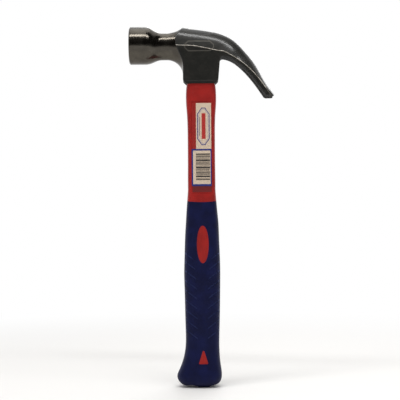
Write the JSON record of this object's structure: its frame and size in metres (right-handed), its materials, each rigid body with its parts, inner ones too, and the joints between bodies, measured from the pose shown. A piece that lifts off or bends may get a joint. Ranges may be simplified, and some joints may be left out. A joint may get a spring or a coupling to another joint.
{
  "type": "claw hammer",
  "caption": "Claw hammer with a forged steel head, curved split claws, a moulded plastic handle over a fibreglass core, and a soft flared grip.",
  "frame": {"origin": "on the handle's axis, level with the underside of the neck, where the hammer rests on two pegs either side of its socket", "axes": "+Z along the handle towards the head, -X towards the struck face, +X towards the claws, -Y towards the labelled side"},
  "size_m": [0.1324, 0.0344, 0.3304],
  "materials": {
    "forged_steel": "ground bell and neck, dark lacquered forging elsewhere",
    "fibreglass": "pultruded glass fibre in resin",
    "jacket_plastic": "moulded, fine satin",
    "grip_rubber": "soft moulded, matt",
    "epoxy": "cast",
    "cap_plastic": "cast resin, ground flush",
    "seal_rubber": "moulded",
    "label_film": "printed film",
    "sticker_film": "printed film"
  },
  "bodies": {
    "root": {"hammer_head": "forged_steel", "core_rod": "fibreglass", "handle_jacket": "jacket_plastic", "grip_sleeve": "grip_rubber", "eye_bond": "epoxy", "eye_cap": "cap_plastic", "socket_seal": "seal_rubber", "front_label": "label_film", "barcode_sticker": "sticker_film"}
  },
  "joints": []
}
